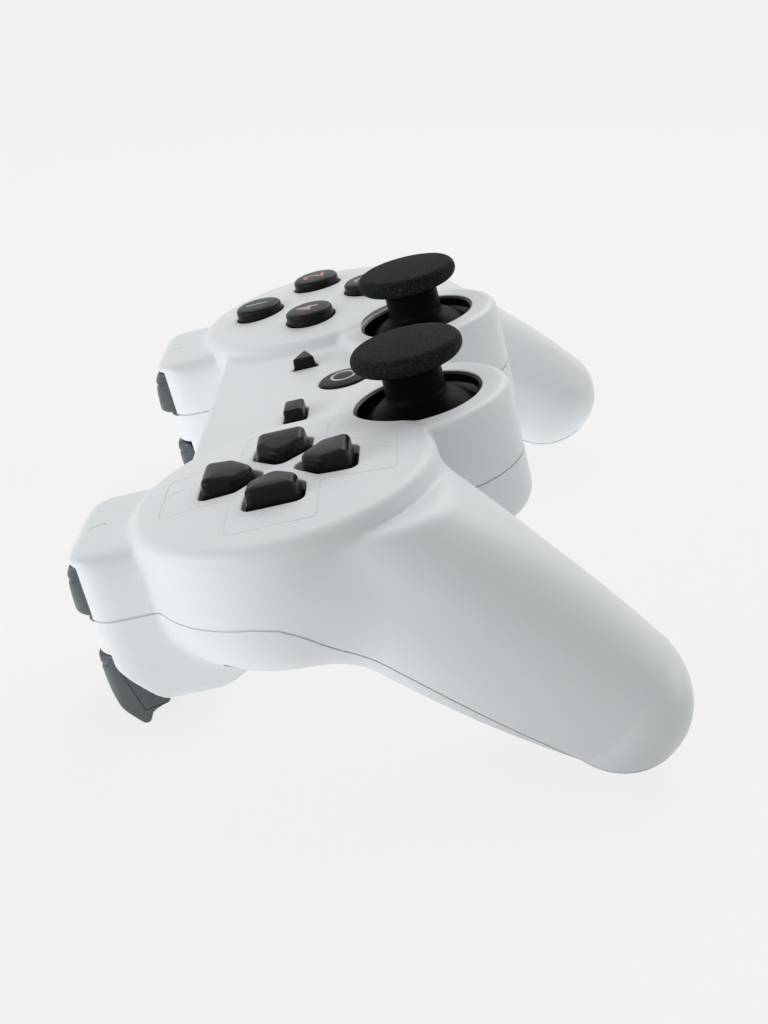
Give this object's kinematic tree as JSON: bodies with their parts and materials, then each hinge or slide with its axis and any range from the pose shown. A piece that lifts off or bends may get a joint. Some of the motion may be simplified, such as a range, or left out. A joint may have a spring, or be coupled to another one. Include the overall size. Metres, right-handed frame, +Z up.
{
  "type": "gamepad controller",
  "caption": "Two-grip wireless game controller with round button pods, thumb sticks, a direction pad, shoulder buttons and pull triggers.",
  "frame": {"origin": "on the surface it rests on, in the middle of its width and depth", "axes": "+X to the player's right, +Y away from the player, +Z up; the pad rests on its grips and trigger lips, so its face leans towards the player"},
  "size_m": [0.1568, 0.099, 0.0567],
  "materials": {
    "shell_white": "satin white, fine moulded grain",
    "inner_plastic": "plain grey moulding",
    "board_green": "solder mask over glass fibre board",
    "battery_wrap": "shrink sleeve",
    "wire_red": "soft insulation",
    "plated_steel": "plated",
    "light_clear": "clear moulding",
    "membrane_rubber": "silicone",
    "button_black": "satin black",
    "home_grey": "satin dark grey",
    "shoulder_smoke": "semi-gloss charcoal",
    "stick_rubber": "matt black, fine grain",
    "weight_brass": "turned"
  },
  "bodies": {
    "housing": {"top_shell": "shell_white", "bottom_shell": "shell_white", "inner_frame": "inner_plastic", "main_board": "board_green", "battery": "battery_wrap", "battery_lead": "wire_red", "usb_socket": "plated_steel", "light_guide": "light_clear", "case_screws": "plated_steel", "dpad_rubber": "membrane_rubber", "face_rubber": "membrane_rubber", "middle_rubber": "membrane_rubber", "left_bumper_rubber": "membrane_rubber", "left_trigger_pin": "plated_steel", "left_trigger_spring": "plated_steel", "left_stick_frame": "plated_steel", "left_stick_sensors": "button_black", "left_stick_switch": "button_black", "left_stick_spring": "plated_steel", "left_motor": "plated_steel", "left_motor_lead": "wire_red", "right_bumper_rubber": "membrane_rubber", "right_trigger_pin": "plated_steel", "right_trigger_spring": "plated_steel", "right_stick_frame": "plated_steel", "right_stick_sensors": "button_black", "right_stick_switch": "button_black", "right_stick_spring": "plated_steel", "right_motor": "plated_steel", "right_motor_lead": "wire_red"},
    "dpad_seat": {"dpad_seat": "inner_plastic"},
    "dpad": {"dpad": "button_black"},
    "rear_face_button": {"rear_face_button": "button_black"},
    "right_face_button": {"right_face_button": "button_black"},
    "front_face_button": {"front_face_button": "button_black"},
    "left_face_button": {"left_face_button": "button_black"},
    "select_button": {"select_button": "button_black"},
    "start_button": {"start_button": "button_black"},
    "home_button": {"home_button": "home_grey"},
    "left_bumper": {"left_bumper": "shoulder_smoke"},
    "left_trigger": {"left_trigger": "shoulder_smoke"},
    "right_bumper": {"right_bumper": "shoulder_smoke"},
    "right_trigger": {"right_trigger": "shoulder_smoke"},
    "left_stick_slider": {"left_stick_slider": "inner_plastic"},
    "left_stick_yoke": {"left_stick_yoke": "inner_plastic"},
    "left_stick_cross_yoke": {"left_stick_cross_yoke": "inner_plastic"},
    "left_stick": {"left_stick_lever": "plated_steel", "left_thumb_cap": "stick_rubber"},
    "left_rotor": {"left_motor_shaft": "plated_steel", "left_weight": "weight_brass"},
    "right_stick_slider": {"right_stick_slider": "inner_plastic"},
    "right_stick_yoke": {"right_stick_yoke": "inner_plastic"},
    "right_stick_cross_yoke": {"right_stick_cross_yoke": "inner_plastic"},
    "right_stick": {"right_stick_lever": "plated_steel", "right_thumb_cap": "stick_rubber"},
    "right_rotor": {"right_motor_shaft": "plated_steel", "right_weight": "weight_brass"}
  },
  "joints": [
    {"name": "dpad_pitch", "type": "hinge", "parent": "housing", "child": "dpad_seat", "pos_m": [-0.0477, 0.01452, 0.0354], "axis": [1, 0, 0], "range_deg": [-4.5, 4.5], "stiffness_Nm_per_rad": 0.12, "deforming": ["dpad_rubber"]},
    {"name": "dpad_roll", "type": "hinge", "parent": "dpad_seat", "child": "dpad", "pos_m": [-0.0477, 0.01452, 0.0354], "axis": [0, 0.974, -0.2267], "range_deg": [-4.5, 4.5], "stiffness_Nm_per_rad": 0.12, "deforming": ["dpad_rubber"]},
    {"name": "rear_face_press", "type": "slide", "parent": "housing", "child": "rear_face_button", "axis": [0, -0.2267, -0.974], "range_m": [0, 0.0016], "stiffness_N_per_m": 350, "springref_m": -0.0008, "deforming": ["face_rubber"]},
    {"name": "right_face_press", "type": "slide", "parent": "housing", "child": "right_face_button", "axis": [0, -0.2267, -0.974], "range_m": [0, 0.0016], "stiffness_N_per_m": 350, "springref_m": -0.0008, "deforming": ["face_rubber"]},
    {"name": "front_face_press", "type": "slide", "parent": "housing", "child": "front_face_button", "axis": [0, -0.2267, -0.974], "range_m": [0, 0.0016], "stiffness_N_per_m": 350, "springref_m": -0.0008, "deforming": ["face_rubber"]},
    {"name": "left_face_press", "type": "slide", "parent": "housing", "child": "left_face_button", "axis": [0, -0.2267, -0.974], "range_m": [0, 0.0016], "stiffness_N_per_m": 350, "springref_m": -0.0008, "deforming": ["face_rubber"]},
    {"name": "select_press", "type": "slide", "parent": "housing", "child": "select_button", "axis": [0, -0.2267, -0.974], "range_m": [0, 0.001], "stiffness_N_per_m": 350, "springref_m": -0.0008, "deforming": ["middle_rubber"]},
    {"name": "start_press", "type": "slide", "parent": "housing", "child": "start_button", "axis": [0, -0.2267, -0.974], "range_m": [0, 0.001], "stiffness_N_per_m": 350, "springref_m": -0.0008, "deforming": ["middle_rubber"]},
    {"name": "home_press", "type": "slide", "parent": "housing", "child": "home_button", "axis": [0, -0.2267, -0.974], "range_m": [0, 0.0006], "stiffness_N_per_m": 350, "springref_m": -0.0008, "deforming": ["middle_rubber"]},
    {"name": "left_bumper_press", "type": "slide", "parent": "housing", "child": "left_bumper", "axis": [0, -0.974, 0.2267], "range_m": [0, 0.0015], "stiffness_N_per_m": 400, "springref_m": -0.0009, "deforming": ["left_bumper_rubber"]},
    {"name": "left_trigger_pull", "type": "hinge", "parent": "housing", "child": "left_trigger", "pos_m": [-0.0461, 0.04019, 0.0169], "axis": [-1, 0, 0], "range_deg": [0, 14], "stiffness_Nm_per_rad": 0.03, "springref_deg": -25.78, "deforming": ["left_trigger_spring"]},
    {"name": "left_stick_click", "type": "slide", "parent": "housing", "child": "left_stick_slider", "axis": [0, -0.2267, -0.974], "range_m": [0, 0.0005], "stiffness_N_per_m": 1500, "springref_m": -0.0006, "deforming": ["left_stick_spring"]},
    {"name": "left_stick_tilt_y", "type": "hinge", "parent": "left_stick_slider", "child": "left_stick_yoke", "pos_m": [-0.0236, -0.0094, 0.03234], "axis": [1, 0, 0], "range_deg": [-14, 14], "stiffness_Nm_per_rad": 0.12, "deforming": ["left_stick_spring"]},
    {"name": "left_stick_tilt_x", "type": "hinge", "parent": "left_stick_yoke", "child": "left_stick", "pos_m": [-0.0236, -0.0094, 0.03234], "axis": [0, 0.974, -0.2267], "range_deg": [-14, 14], "stiffness_Nm_per_rad": 0.12, "deforming": ["left_stick_spring"]},
    {"name": "left_stick_cross_turn", "type": "hinge", "parent": "left_stick_slider", "child": "left_stick_cross_yoke", "pos_m": [-0.0236, -0.0094, 0.03234], "axis": [0, 0.974, -0.2267], "range_deg": [-14.6, 14.6], "deforming": ["left_stick_spring"]},
    {"name": "left_rotor_spin", "type": "hinge", "parent": "housing", "child": "left_rotor", "pos_m": [-0.0635, -0.02573, 0.01669], "axis": [0, -0.83, -0.5577], "continuous": true},
    {"name": "right_bumper_press", "type": "slide", "parent": "housing", "child": "right_bumper", "axis": [0, -0.974, 0.2267], "range_m": [0, 0.0015], "stiffness_N_per_m": 400, "springref_m": -0.0009, "deforming": ["right_bumper_rubber"]},
    {"name": "right_trigger_pull", "type": "hinge", "parent": "housing", "child": "right_trigger", "pos_m": [0.0461, 0.04019, 0.0169], "axis": [-1, 0, 0], "range_deg": [0, 14], "stiffness_Nm_per_rad": 0.03, "springref_deg": -25.78, "deforming": ["right_trigger_spring"]},
    {"name": "right_stick_click", "type": "slide", "parent": "housing", "child": "right_stick_slider", "axis": [0, -0.2267, -0.974], "range_m": [0, 0.0005], "stiffness_N_per_m": 1500, "springref_m": -0.0006, "deforming": ["right_stick_spring"]},
    {"name": "right_stick_tilt_y", "type": "hinge", "parent": "right_stick_slider", "child": "right_stick_yoke", "pos_m": [0.0236, -0.0094, 0.03234], "axis": [1, 0, 0], "range_deg": [-14, 14], "stiffness_Nm_per_rad": 0.12, "deforming": ["right_stick_spring"]},
    {"name": "right_stick_tilt_x", "type": "hinge", "parent": "right_stick_yoke", "child": "right_stick", "pos_m": [0.0236, -0.0094, 0.03234], "axis": [0, 0.974, -0.2267], "range_deg": [-14, 14], "stiffness_Nm_per_rad": 0.12, "deforming": ["right_stick_spring"]},
    {"name": "right_stick_cross_turn", "type": "hinge", "parent": "right_stick_slider", "child": "right_stick_cross_yoke", "pos_m": [0.0236, -0.0094, 0.03234], "axis": [0, 0.974, -0.2267], "range_deg": [-14.6, 14.6], "deforming": ["right_stick_spring"]},
    {"name": "right_rotor_spin", "type": "hinge", "parent": "housing", "child": "right_rotor", "pos_m": [0.0635, -0.02573, 0.01669], "axis": [0, -0.83, -0.5577], "continuous": true}
  ],
  "couplings": [
    {"joint": "left_stick_cross_turn", "follows": "left_stick_tilt_x", "ratio": 1},
    {"joint": "right_stick_cross_turn", "follows": "right_stick_tilt_x", "ratio": 1}
  ]
}
